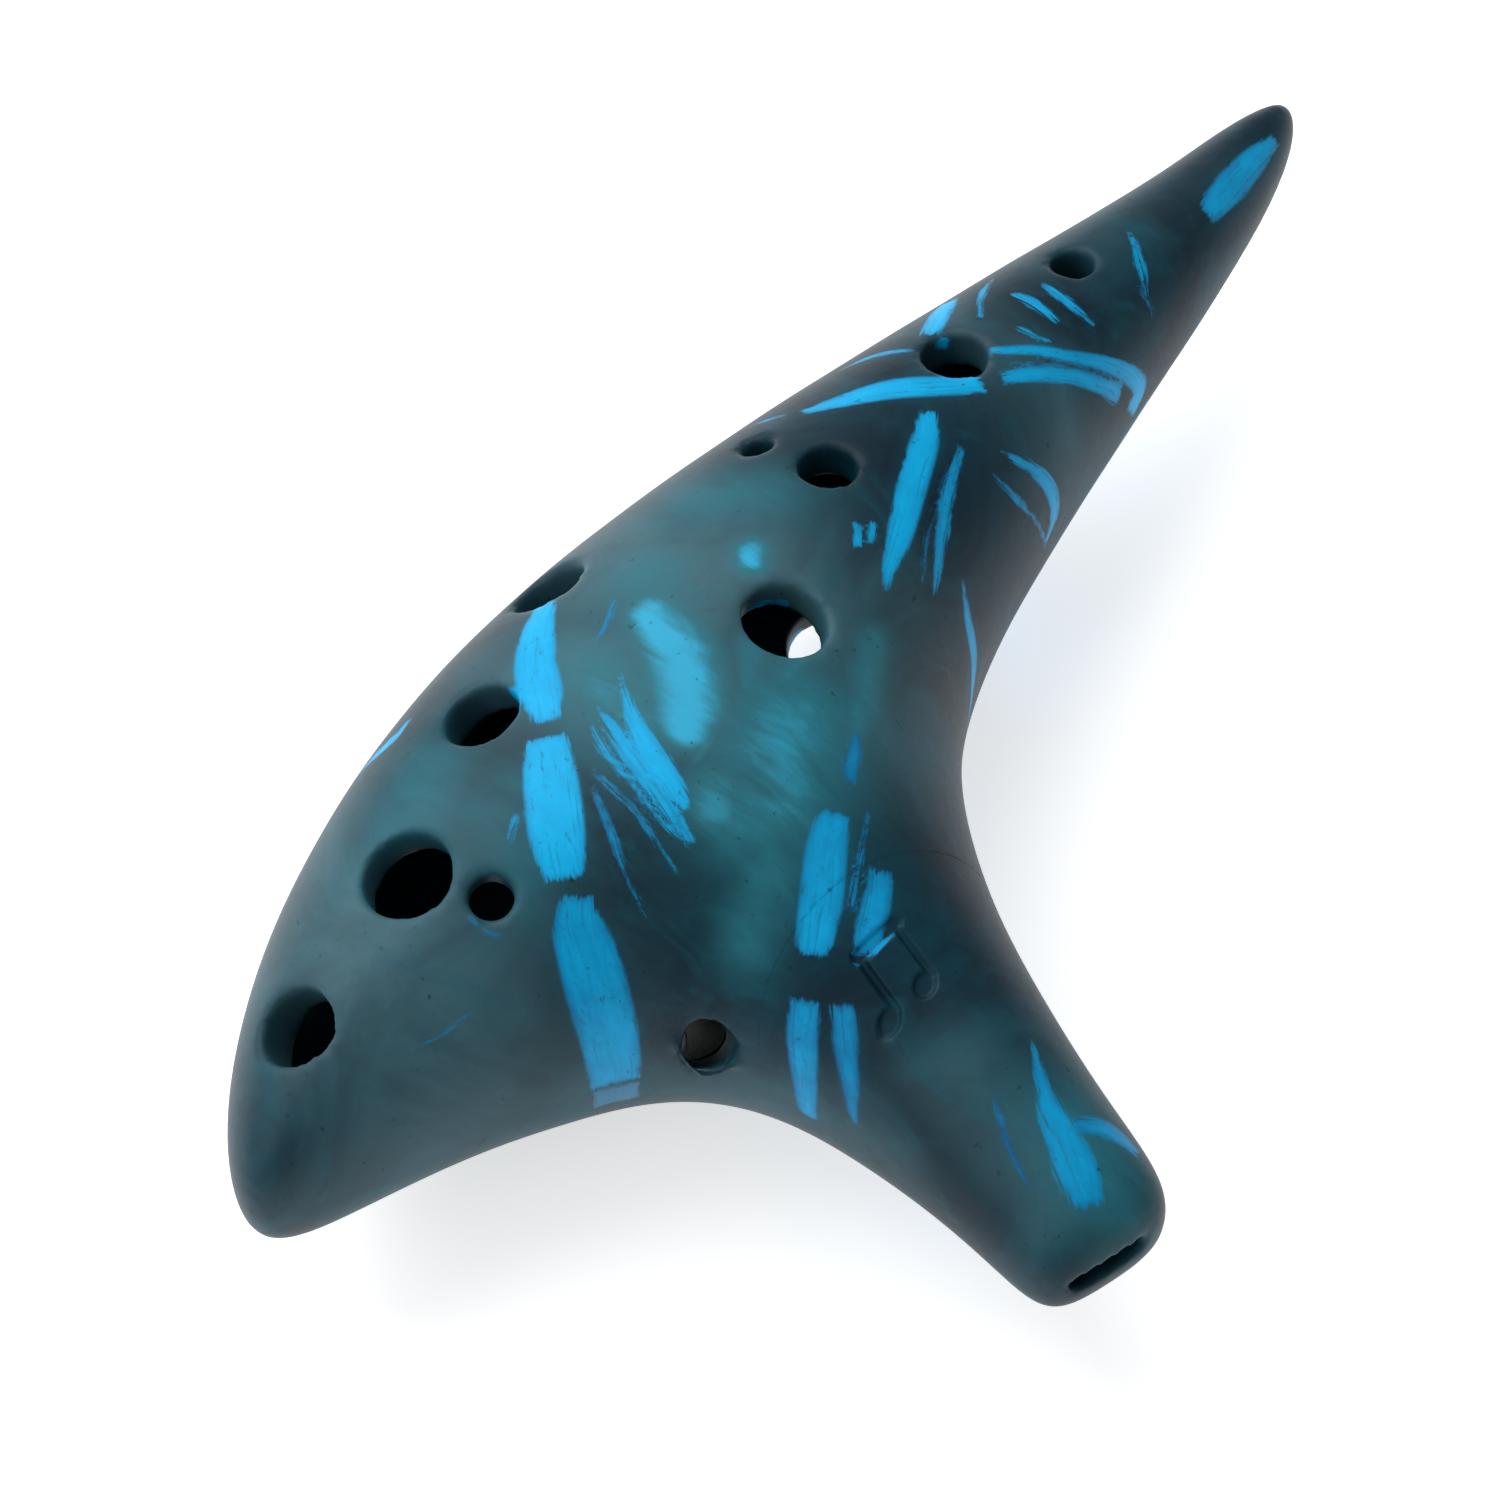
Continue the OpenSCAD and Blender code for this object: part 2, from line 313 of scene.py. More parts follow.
def hand_shaping(clay):
    """Very shallow swells, as left by shaping and sponging by hand."""
    points, normals = points_of(clay.data), normals_of(clay.data)
    x, y, z = points.T
    swell = (np.sin(x / 7.3 + y / 11.0 + 1.0) * np.sin(y / 6.1 - z / 8.0)
             + 0.6 * np.sin(x / 4.1 - y / 5.2 + 2.0) * np.sin(z / 5.0 + x / 9.0))
    put_points(clay.data, points - normals * (SWELL * (swell + 1.6))[:, None])


# ---------------------------------------------------------------- the pressed quavers
MARK_CENTRE = np.array([-38.5, -15.0])
MARK_DEPTH, MARK_SIZE = 0.6, 9.6
MARK_HEADING = math.radians(76)
MARK_LOWEST, MARK_FACING = 30, 0.3


def groove(u, v, a, b, half_width):
    """Distance inside a straight groove from a to b, positive in the groove."""
    a, b = np.array(a, float), np.array(b, float)
    away = np.stack([u, v], -1) - a
    t = np.clip(away @ (b - a) / ((b - a) @ (b - a)), 0, 1)
    return half_width - np.linalg.norm(away - t[:, None] * (b - a), axis=1)


def note_head(u, v, centre):
    """Rough distance inside a leaning oval note head."""
    turn = math.radians(24)
    hu, hv = u - centre[0], v - centre[1]
    a = (hu * math.cos(turn) + hv * math.sin(turn)) / 0.155
    b = (-hu * math.sin(turn) + hv * math.cos(turn)) / 0.11
    return (1 - np.sqrt(a * a + b * b)) * 0.12


def quavers(u, v):
    """Signed depth inside a beamed pair of quavers of unit height."""
    parts = [note_head(u, v, (-0.30, -0.34)), note_head(u, v, (0.24, -0.28)),
             groove(u, v, (-0.17, -0.30), (-0.17, 0.36), 0.04),
             groove(u, v, (0.37, -0.24), (0.37, 0.42), 0.04),
             groove(u, v, (-0.17, 0.34), (0.37, 0.40), 0.075)]
    return np.maximum.reduce(parts)


def press_mark(clay):
    """Refines the clay round the mark and presses the quavers into it."""
    bm = bmesh.new()
    bm.from_mesh(clay.data)
    centre = Vector((*MARK_CENTRE, 0)) * MM
    reach = 0.62 * MARK_SIZE * MM
    near = [e for e in bm.edges
            if all(v.normal.z > MARK_FACING and v.co.z > MARK_LOWEST * MM
                   and (Vector((v.co.x, v.co.y, 0)) - centre).length < reach for v in e.verts)]
    bmesh.ops.subdivide_edges(bm, edges=near, cuts=3, use_grid_fill=True)
    bm.to_mesh(clay.data)
    bm.free()
    points, normals = points_of(clay.data), normals_of(clay.data)
    away = points[:, :2] - MARK_CENTRE
    along = np.array([math.cos(MARK_HEADING), math.sin(MARK_HEADING)])
    side = np.array([along[1], -along[0]])
    inside = quavers(away @ side / MARK_SIZE, away @ along / MARK_SIZE)
    pressed = smoothstep(-0.035, 0.03, inside) * MARK_DEPTH
    pressed *= ((points[:, 2] > MARK_LOWEST) & (np.linalg.norm(away, axis=1) < MARK_SIZE)
                & (normals[:, 2] > MARK_FACING))
    put_points(clay.data, points - normals * pressed[:, None])


# ---------------------------------------------------------------- parting into pieces
CRUMB_FACES = 20


def drop_crumbs(obj):
    """Removes what a cut can leave on a joint face: faces folded onto each other, and specks."""
    bm = bmesh.new()
    bm.from_mesh(obj.data)
    bmesh.ops.triangulate(bm, faces=bm.faces)
    twins = {}
    for face in bm.faces:
        twins.setdefault(frozenset(v.co.to_tuple() for v in face.verts), []).append(face)
    folded = [face for same in twins.values() if len(same) > 1 for face in same]
    bmesh.ops.delete(bm, geom=folded, context="FACES")
    crumbs = []
    for start in bm.faces:
        start.tag = False
    for start in bm.faces:
        patch = [] if start.tag else [start]
        start.tag = True
        for face in patch:
            for other in (f for edge in face.edges for f in edge.link_faces if not f.tag):
                other.tag = True
                patch.append(other)
        if len(patch) < CRUMB_FACES:
            crumbs += patch
    bmesh.ops.delete(bm, geom=crumbs, context="FACES")
    bm.to_mesh(obj.data)
    bm.free()


def part_pieces(clay):
    """Cuts the whole at its joints. Returns a piece for every clay node that shows."""
    joint, inner, far = CHEEK_HALF_HEIGHT, CHEEK_INNER, FAR
    room = {
        "beak_roof": block((-60, -far, joint), (SLOT_LENGTH, far, far)),
        "beak_floor": block((-60, -far, -far), (SLOT_LENGTH, far, -joint)),
        "windway_cheek_left": block((-60, inner, -joint), (SLOT_LENGTH, far, joint)),
        "windway_cheek_right": block((-60, -far, -joint), (SLOT_LENGTH, -inner, joint)),
    }
    flat = Matrix.Scale(MM, 4)
    upper = block((-far, -far, PARTING), (far, far, 80), flat)
    lower = block((-far, -far, -40), (far, far, PARTING), flat)
    behind = (SLOT_LENGTH, -far, -far), (far, far, far)
    room["front_shell"] = boolean(upper, block(*behind), "INTERSECT")
    back = boolean(lower, block(*behind), "INTERSECT")
    window_end = SLOT_LENGTH + WINDOW_LENGTH
    bed = ((window_end - BED_LAP, -LABIUM_WIDTH / 2, -BED_DEPTH),
           (window_end + RAMP_LENGTH, LABIUM_WIDTH / 2, 2 * WALL))
    room["labium"] = block(*bed)
    room["back_shell"] = boolean(back, block(*bed), "DIFFERENCE")
    pieces = {}
    for node, space in room.items():
        piece = bpy.data.objects.new(node + "_clay", clay.data.copy())
        bpy.context.scene.collection.objects.link(piece)
        pieces[node] = boolean(piece, space, "INTERSECT")
        drop_crumbs(piece)
    bpy.data.objects.remove(clay)
    return pieces


# ---------------------------------------------------------------- straw marks in the glaze
# Each mark: kind, tone from deep (0) to bright (1), then points (x, y, z, width) along it.
STRAWS = [
    # the long straw across the crown, in three lengths and a faded end
    ("straw", 0.95, [(-25, 41, 40, 2.6), (-29.5, 38.5, 42, 4.3), (-34, 35, 43.5, 5),
                     (-37, 31.5, 44.5, 4.6), (-39.5, 29, 45, 2.8)]),
    ("straw", 1.0, [(-41, 28, 45, 4.3), (-43.5, 25.5, 45, 5.6), (-46.5, 22.5, 44.5, 6.1),
                    (-49.5, 19.5, 43.5, 5.9), (-52, 16.5, 42, 4.1)]),
    ("straw", 0.7, [(-52.5, 14.5, 41.5, 3.2), (-54.5, 13, 40, 5.4), (-56, 10.5, 37.5, 6.5),
                    (-57.5, 8, 34, 6.7), (-58.5, 6, 29.5, 6.3), (-59, 5, 22, 5.6)]),
    ("pale", 0.5, [(-59, 5, 21.5, 5.2), (-59, 5, 17.5, 5)]),
    # spikes and hairs beside it
    ("fibre", 1.0, [(-30.5, 26.5, 45.5, 0.4), (-34, 22, 46, 1.8), (-36.5, 17.5, 45.5, 3.2),
                    (-38, 13.5, 45, 2.8), (-39, 11, 44.5, 0.7)]),
    ("fibre", 0.95, [(-35, 26, 45.5, 0.4), (-36.5, 22.5, 45.5, 1.7), (-38, 18.5, 45.5, 2.4),
                     (-39.5, 14, 45, 2.1), (-41.5, 8.5, 43.5, 0.9)]),
    ("hair", 0.9, [(-37, 25.5, 45.5, 0.3), (-39, 21.5, 45.5, 1), (-40, 18, 45.5, 1),
                   (-41.5, 12.5, 44.5, 0.8), (-42, 8.5, 43.5, 0.3)]),
    ("hair", 0.7, [(-41.5, 21.5, 45.5, 0.6), (-42, 18, 45, 0.8), (-42.5, 14.5, 44.5, 0.6),
                   (-44.5, 8, 42, 0.3)]),
    ("hair", 0.6, [(-43, 20, 45, 0.5), (-44.5, 17.5, 44.5, 0.9), (-46, 15, 43.5, 0.9),
                   (-48, 11.5, 42, 0.6), (-49.5, 8, 40, 0.3)]),
    ("hair", 0.6, [(-22.5, 33.5, 44, 0.7), (-26, 32, 44.5, 0.9), (-29, 31, 44.5, 0.3)]),
    ("hair", 0.8, [(-50, 24.5, 44, 0.9), (-51.5, 24, 43.5, 1), (-52.5, 23.5, 43.5, 0.4)]),
    # arcs round the third hole from the tail
    ("straw", 0.95, [(29, 22.5, 37.5, 3), (25, 25.5, 38.5, 3.3), (21, 29.5, 39, 3.7),
                     (16.5, 33, 39, 2.8), (13, 35.5, 38, 1.1)]),
    ("hair", 0.8, [(12, 37.5, 37.5, 0.7), (11, 39, 36, 0.9), (10, 40.5, 35, 0.4)]),
    ("straw", 0.8, [(28.5, 31.5, 37, 0.9), (26, 35.5, 35.5, 1.3), (22.5, 38, 34, 0.5)]),
    ("straw", 0.85, [(33, 25, 37.5, 1.1), (37, 21.5, 36, 1.6), (40.5, 18, 34, 1.8),
                     (44.5, 15, 30.5, 2.4), (47.5, 13.5, 25, 3.3), (45, 13, 23, 3.9)]),
    ("straw", 0.85, [(31, 21.5, 37, 1.7), (35.5, 19, 35, 2.2), (39.5, 16, 32.5, 2.2),
                     (43.5, 13.5, 27.5, 2.8)]),
    ("hair", 0.6, [(33.5, 22, 37, 0.4), (38, 18.5, 34.5, 0.5), (43, 14.5, 30, 0.5)]),
    ("straw", 0.95, [(40, 35.5, 32.5, 2.4), (36, 33.5, 34, 3.2), (32, 32, 36, 2.2)]),
    ("hair", 0.8, [(45, 33, 33, 0.8), (41, 31.5, 34.5, 1.1), (37.5, 29, 36, 0.7)]),
    # down the flank towards the beak
    ("straw", 0.95, [(21, 24, 39.5, 2), (17.5, 22, 39.5, 3.3), (12, 19.5, 40, 3.7),
                     (5.5, 16.5, 40, 3.3), (1, 14.5, 40.5, 2), (-2, 13, 40.5, 0.6)]),
    ("fibre", 0.75, [(20, 19, 38, 0.9), (14.5, 16.5, 38, 1.8), (9, 13.5, 37.5, 1.8),
                     (3, 10, 36.5, 0.7)]),
    ("hair", 0.5, [(16, 18, 38.5, 0.4), (8.5, 15, 38.5, 0.7), (3, 11.5, 38, 0.3)]),
    ("straw", 0.8, [(8, 9.5, 34.5, 0.5), (5.5, 7, 31.5, 1.7), (4, 5, 27.5, 2.2),
                    (-0.5, 2.5, 21, 0.7)]),
    ("fibre", 0.8, [(23.5, 16, 36, 0.5), (25.5, 13.5, 33, 1.6), (27, 11.5, 29.5, 2.4),
                    (26.5, 10, 25.5, 2.1), (24, 9.5, 23.5, 0.9)]),
    ("hair", 0.7, [(20.5, 15, 35.5, 0.4), (21.5, 12, 32, 0.9), (23, 10, 27.5, 0.7),
                   (24, 9.5, 23, 0.3)]),
    ("fibre", 0.5, [(-19.5, 3.5, 42, 1.1), (-22.5, 2, 42.5, 2.2), (-25, 0.5, 42.5, 1.5)]),
    # across the root of the beak
    ("straw", 0.75, [(-29, -0.5, 42.5, 3.3), (-33, -2.5, 42, 4.6), (-37, -5, 41, 4.8),
                     (-40, -6.5, 39.5, 4.3), (-42, -7.5, 38, 3.3)]),
    ("hair", 0.6, [(-26.5, -3, 41.5, 0.5), (-31.5, -5.5, 41, 0.9), (-36, -8, 40, 0.7)]),
    ("straw", 0.7, [(-30.5, -7.5, 40, 2.2), (-33.5, -9.5, 40, 3.3), (-37, -11, 39, 3.3),
                    (-38.5, -12, 38.5, 2.2)]),
    ("straw", 0.6, [(-45, -9, 35, 3.3), (-47.5, -10.5, 31.5, 3.7), (-49, -12, 27.5, 3.3),
                    (-49.5, -13, 21.5, 2.4)]),
    ("straw", 0.5, [(-43.5, -12.5, 35.5, 2.6), (-45.5, -14.5, 33, 3), (-48, -17, 29.5, 2.2),
                    (-49.5, -18.5, 25.5, 1.1)]),
    # by the mouth
    ("fibre", 0.7, [(-33.5, -29.5, 32.5, 0.4), (-37, -33, 32.5, 2), (-39.5, -36.5, 32, 3.5),
                    (-42.5, -41.5, 31, 4.8), (-44.5, -44.5, 30, 3.3)]),
    ("fibre", 0.6, [(-39, -38, 31.5, 1.3), (-36, -41, 29.5, 3), (-35.5, -44.5, 28, 1.5)]),
    ("hair", 0.4, [(-42, -30.5, 33, 0.5), (-44.5, -34.5, 31.5, 1), (-47, -39, 30, 0.4)]),
    # the tail
    ("straw", 0.7, [(87, 21.5, 26, 1.7), (81.5, 21, 27.5, 3.7), (75, 20.5, 28.5, 4.1),
                    (70, 20, 29.5, 2.8)]),
    ("fibre", 0.8, [(60.5, 24.5, 32, 0.4), (57.5, 21, 32, 1.4), (54.5, 17.5, 31, 0.4)]),
    ("fibre", 0.9, [(46.5, 27, 34.5, 0.5), (46, 23.5, 35, 1.5), (46, 19, 33.5, 0.5)]),
    ("fibre", 0.9, [(43, 28.5, 35, 0.9), (43, 25, 35.5, 1.7), (42.5, 22, 35, 0.9)]),
    ("hair", 0.8, [(38.5, 24.5, 36.5, 0.5), (39, 22, 36, 0.8), (39.5, 21, 35.5, 0.4)]),
    ("hair", 0.6, [(54.5, 20, 32.5, 0.3), (54.5, 17.5, 30.5, 0.7), (53.5, 16, 29.5, 0.3)]),
    # small ones
    ("straw", 0.9, [(2.5, 20, 42, 1.1), (0, 18, 42, 1.2)]),
    ("straw", 0.9, [(4, 19, 41.5, 1), (1.5, 17.5, 41.5, 1)]),
    ("fibre", 0.95, [(-43.5, 44.5, 36.5, 0.7), (-47, 45, 35.5, 2.2), (-50.5, 46.5, 31.5, 0.9)]),
    ("hair", 0.6, [(-75, 19.5, 35, 0.4), (-71, 18, 35, 0.5), (-67, 16.5, 36, 0.3)]),
    ("hair", 0.6, [(-61, 22, 41, 0.4), (-61, 20, 40.5, 0.5), (-60.5, 18.5, 40, 0.3)]),
]
# Teal clouds, where the smoke only just reached: strength, then the same points.
CLOUDS = [
    (1.0, [(-22, 29, 45, 4), (-25, 23, 46, 6), (-29, 18.5, 46, 6), (-32, 16.5, 46, 4)]),
    (0.5, [(-32.5, 27.5, 45.5, 9), (-34, 21, 46, 10)]),
    (0.5, [(-19, 18, 45.5, 2.8), (-23.5, 15, 45.5, 1.9)]),
    (0.5, [(-17, 13, 44.5, 1.5), (-22, 12.5, 45, 2.2), (-26, 12, 45.5, 1.5)]),
    (0.5, [(-31.5, 14, 45.5, 1.5), (-34, 13.5, 45.5, 1.3)]),
    (0.6, [(-35.5, 9.5, 45, 6.5), (-36.5, 9, 44.5, 6.5)]),
    (0.6, [(-24, 9, 44.5, 12), (-33, 5, 44.5, 12)]),
    (0.45, [(-37.5, 1, 42.5, 6), (-45, -1.5, 38, 5)]),
    (0.9, [(-8.5, 26, 44, 2.6), (-10, 25, 44.5, 2.6)]),
    (0.4, [(-18, 32.5, 44, 7), (-23.5, 27.5, 45.5, 8)]),
    (0.35, [(-1, 31, 42.5, 8), (-5, 35.5, 41.5, 8)]),
    (0.5, [(-8, 10, 40.5, 3), (-14, 6.5, 41.5, 3.4), (-21, 3, 42.5, 2.4)]),
    (0.4, [(-39, -38.5, 31.5, 9), (-42.5, -45.5, 29.5, 8)]),
    (0.35, [(-50, 36.5, 41.5, 9), (-59, 32.5, 41, 8)]),
    (0.25, [(-49.5, 27, 44, 9), (-53.5, 21.5, 43, 8)]),
]
# Painted sheen: grey patches that stand in for the studio light's broad reflection on the glaze:
# strength, then the same points.
PAINTED_SHEENS = [
    (0.75, [(-69.5, 33.5, 38, 26), (-71.5, 19, 35.5, 26)]),
    (0.12, [(-86.5, 27.5, 33, 16), (-90, 21.5, 28, 12)]),
    (0.8, [(-16, 35, 43, 20), (-13.5, 21, 45, 20)]),
    (0.45, [(-4.5, 13, 41, 14), (-18, 4.5, 42, 12)]),
    (0.22, [(50, 30, 33, 12), (76.5, 25.5, 28.5, 9)]),
    (0.5, [(34, 29.5, 36.5, 10), (33, 14.5, 32.5, 12)]),
    (0.4, [(-67, 11, 28, 12), (-52.5, -1, 19, 10), (-49.5, -22, 26, 9)]),
    (0.4, [(-42.5, -26.5, 33.5, 10), (-46, -42, 30.5, 9)]),
    (0.7, [(-35, 36, 44, 14), (-25, 20, 46, 14)]),
]


def spline(points, steps=6):
    """Open Catmull-Rom curve through the points of a mark."""
    p = np.array(points, float)
    p = np.vstack([2 * p[0] - p[1], p, 2 * p[-1] - p[-2]])
    u = (np.arange(steps) / steps)[:, None]
    spans = [0.5 * (2 * b + (c - a) * u + (2 * a - 5 * b + 4 * c - d) * u**2
                    + (3 * b - a - 3 * c + d) * u**3)
             for a, b, c, d in zip(p, p[1:], p[2:], p[3:])]
    return np.vstack(spans + [p[-2:-1]])


END_REACH, FRAYED_END, SPLIT_END = 5.0, 3.5, 0.8
SKIN_DEPTH = 3
SEED, HIDDEN_STRAWS, STEP = 12, 56, 4.0


def lengthened(track):
    """The same track run on straight past both ends, so that a cut straw ends bluntly."""
    first, last = track[0].copy(), track[-1].copy()
    for end, near in ((first, track[1]), (last, track[-2])):
        run = end[:3] - near[:3]
        end[:3] += run / np.linalg.norm(run) * END_REACH
    return np.vstack([first, track, last])


def along_mark(points, normals, track):
    """Nearest place on a mark for surface points: distance from it, along it and across it, and
    its width there, all along the surface; points far above or below it get a big distance."""
    a, b = track[:-1, :3], track[1:, :3]
    run = b - a
    length = np.linalg.norm(run, axis=1)
    start = np.concatenate([[0], np.cumsum(length)])[:-1]
    away = points[:, None] - a[None]
    t = np.clip((away * run).sum(-1) / length**2, 0, 1)
    gap = away - t[..., None] * run
    lift = (gap * normals[:, None]).sum(-1)
    gap -= lift[..., None] * normals[:, None]
    distance = np.linalg.norm(gap, axis=-1) + 50 * (np.abs(lift) > SKIN_DEPTH)
    nearest = distance.argmin(1)
    row = np.arange(len(points))
    side = np.cross(run[nearest], normals)
    width = track[nearest, 3] + t[row, nearest] * (track[nearest + 1, 3] - track[nearest, 3])
    distance = distance[row, nearest]
    across = np.sign((gap[row, nearest] * side).sum(1)) * distance
    return distance, start[nearest] + t[row, nearest] * length[nearest], across, width


def skin_normals(mesh, tree, normals):
    """The whole body's own normals at a piece's points, so that no joint face tilts them."""
    return normals[[tree.find(point)[1] for point in (points_of(mesh) * MM).tolist()]]


def close_to(points, track, reach):
    """Numbers of the points near a track's box."""
    low, high = track[:, :3].min(0) - reach, track[:, :3].max(0) + reach
    return np.flatnonzero(((points > low) & (points < high)).all(1))


def lay_patches(points, patches):
    """Soft patches: the strongest at each point, fading over their width."""
    field = np.zeros(len(points))
    for strength, mark in patches:
        track = spline(mark)
        near = close_to(points, track, 2 * track[:, 3].max())
        if len(near):
            gaps = np.linalg.norm(points[near][:, None] - track[None, :, :3], axis=-1)
            spread = (gaps / track[:, 3]).min(1)
            field[near] = np.maximum(field[near], strength * np.exp(-2 * spread**2))
    return field


def lay_straw(mesh, normals, straws):
    """Writes the marks onto a mesh as point attributes that the glaze reads: millimetres inside
    the nearest mark's edge, place along and across it, its tone and fibres, and the patches."""
    points = points_of(mesh)
    count = len(points)
    edge = np.full(count, -6.0)
    run = np.zeros((count, 3))
    look = np.zeros((count, 3))
    for number, (kind, tone, mark) in enumerate(straws):
        track = spline(mark)
        frayed = 0.0
        if kind != "hair":
            track = lengthened(track)
        near = close_to(points, track, 8)
        if len(near) == 0:
            continue
        distance, along, across, width = along_mark(points[near], normals[near], track)
        inside = width / 2 - distance
        if kind != "hair":
            whole = np.linalg.norm(np.diff(track[:, :3], axis=0), axis=1).sum()
            to_end = np.minimum(along, whole - along) - END_REACH
            inside = np.minimum(inside, to_end)
            frayed = SPLIT_END - SPLIT_END * np.clip(to_end / FRAYED_END, 0, 1)
        wins = inside > edge[near]
        chosen = near[wins]
        edge[chosen] = inside[wins]
        run[chosen] = np.stack([along, across, np.full(len(along), 3.7 * number)], 1)[wins]
        split = np.maximum(frayed, float(kind in ("fibre", "hair"))) * np.ones(len(near))
        look[chosen, 0] = tone
        look[chosen, 1] = split[wins]
        look[chosen, 2] = kind == "pale"
    # patches: teal clouds of colour, then the painted sheen standing in for reflected light, then
    # nothing
    patches = np.stack([lay_patches(points, CLOUDS), lay_patches(points, PAINTED_SHEENS),
                        np.zeros(count)], 1)
    for name, kind, values in (("mark_edge", "FLOAT", edge), ("mark_run", "FLOAT_VECTOR", run),
                               ("mark_look", "FLOAT_VECTOR", look),
                               ("patches", "FLOAT_VECTOR", patches)):
        layer = mesh.attributes.new(name, kind, "POINT")
        field = "value" if kind == "FLOAT" else "vector"
        layer.data.foreach_set(field, values.astype(np.float32).ravel())


def hidden_straws(tree, points, normals, count):
    """Straws on the sides that the front leaves bare: each wanders over the skin from a random
    start, and is kept if it stays on the far side."""
    random = np.random.RandomState(SEED)
    front = np.array(sight(AZIMUTH, ELEVATION))
    low, high = points.min(0), points.max(0)
    kinds = ("straw", "straw", "fibre", "fibre", "hair", "hair")
    straws = []
    while len(straws) < count:
        kind = kinds[random.randint(6)]
        steps, width = random.randint(3, 7), random.uniform(2.5, 6)
        tone, heading = random.uniform(0.5, 1), random.normal(size=3)
        spot = random.uniform(low, high)
        mark, seen = [], False
        for step in range(steps):
            _, index, _ = tree.find((spot * MM).tolist())
            spot, up = points[index].copy(), normals[index]
            seen = seen or up @ front > -0.02 or (spot[2] < 1.0 and abs(up[2]) < 0.2)
            taper = math.sin(math.pi * (step + 0.8) / (steps + 0.6)) if kind != "straw" else 1
            mark.append((*spot, (1.0 if kind == "hair" else width) * max(taper, 0.2)))
            heading -= (heading @ up) * up
            heading /= np.linalg.norm(heading)
            spot += heading * STEP
        if not seen:
            straws.append((kind, tone, mark))
    return straws


# ---------------------------------------------------------------- glaze and clay
class Wire:
    """A value running between shader nodes, on which Python's operators add Math nodes."""

    def __init__(self, net, socket):
        self.net, self.socket = net, socket

    def _math(self, operation, *values):
        return self.net.add("ShaderNodeMath", {"operation": operation}, *values)

    def __add__(self, other):
        return self._math("ADD", self, other)

    def __sub__(self, other):
        return self._math("SUBTRACT", self, other)

    def __rsub__(self, other):
        return self._math("SUBTRACT", other, self)

    def __mul__(self, other):
        return self._math("MULTIPLY", self, other)

    __radd__ = __add__
    __rmul__ = __mul__

    def clamp(self):
        return self.net.add("ShaderNodeClamp", {}, self)

    def above(self, low, high):
        """Soft threshold: 0 below low, 1 above high."""
        return self.net.add("ShaderNodeMapRange", {"interpolation_type": "SMOOTHSTEP"},
                            self, low, high, 0.0, 1.0)


class Net:
    """The shader nodes of one material."""

    def __init__(self, name):
        self.material = bpy.data.materials.new(name)
        self.material.use_nodes = True
        self.tree = self.material.node_tree
        self.shader = self.tree.nodes["Principled BSDF"]

    def add(self, kind, settings, *values, at=None, out=0, **named):
        """Adds a node: its settings first, then its input values or wires, in order, at the
        numbered places, or by name."""
        node = self.tree.nodes.new(kind)
        for key, value in settings.items():
            setattr(node, key, value)
        for key, value in [*zip(at or range(len(values)), values), *named.items()]:
            self.feed(node, key, value)
        return Wire(self, node.outputs[out])

    def feed(self, node, key, value):
        socket = node.inputs[key.replace("_", " ") if isinstance(key, str) else key]
        if isinstance(value, Wire):
            self.tree.links.new(value.socket, socket)
        else:
            socket.default_value = value

    def finish(self, **values):
        """Feeds the material's own shader."""
        for key, value in values.items():
            self.feed(self.shader, key, value)

    def place(self):
        return self.add("ShaderNodeTexCoord", {}, out="Object")

    def noise(self, vector, scale, detail=3.0, roughness=0.5, distortion=0.0):
        return self.add("ShaderNodeTexNoise", {}, Vector=vector, Scale=scale, Detail=detail,
                        Roughness=roughness, Distortion=distortion, out="Fac")

    def stretch(self, vector, x, y, z):
        return self.add("ShaderNodeVectorMath", {"operation": "MULTIPLY"}, vector, (x, y, z))

    def mix(self, amount, low, high):
        """Colour mix; the places are those of its factor and two colours, and its result."""
        return self.add("ShaderNodeMix", {"data_type": "RGBA"}, amount, low, high,
                        at=(0, 6, 7), out=2)


def paint(red, green, blue):
    """Colour from 8-bit display values."""
    share = [c / 255 for c in (red, green, blue)]
    return (*(c / 12.92 if c < 0.04045 else ((c + 0.055) / 1.055) ** 2.4 for c in share), 1.0)


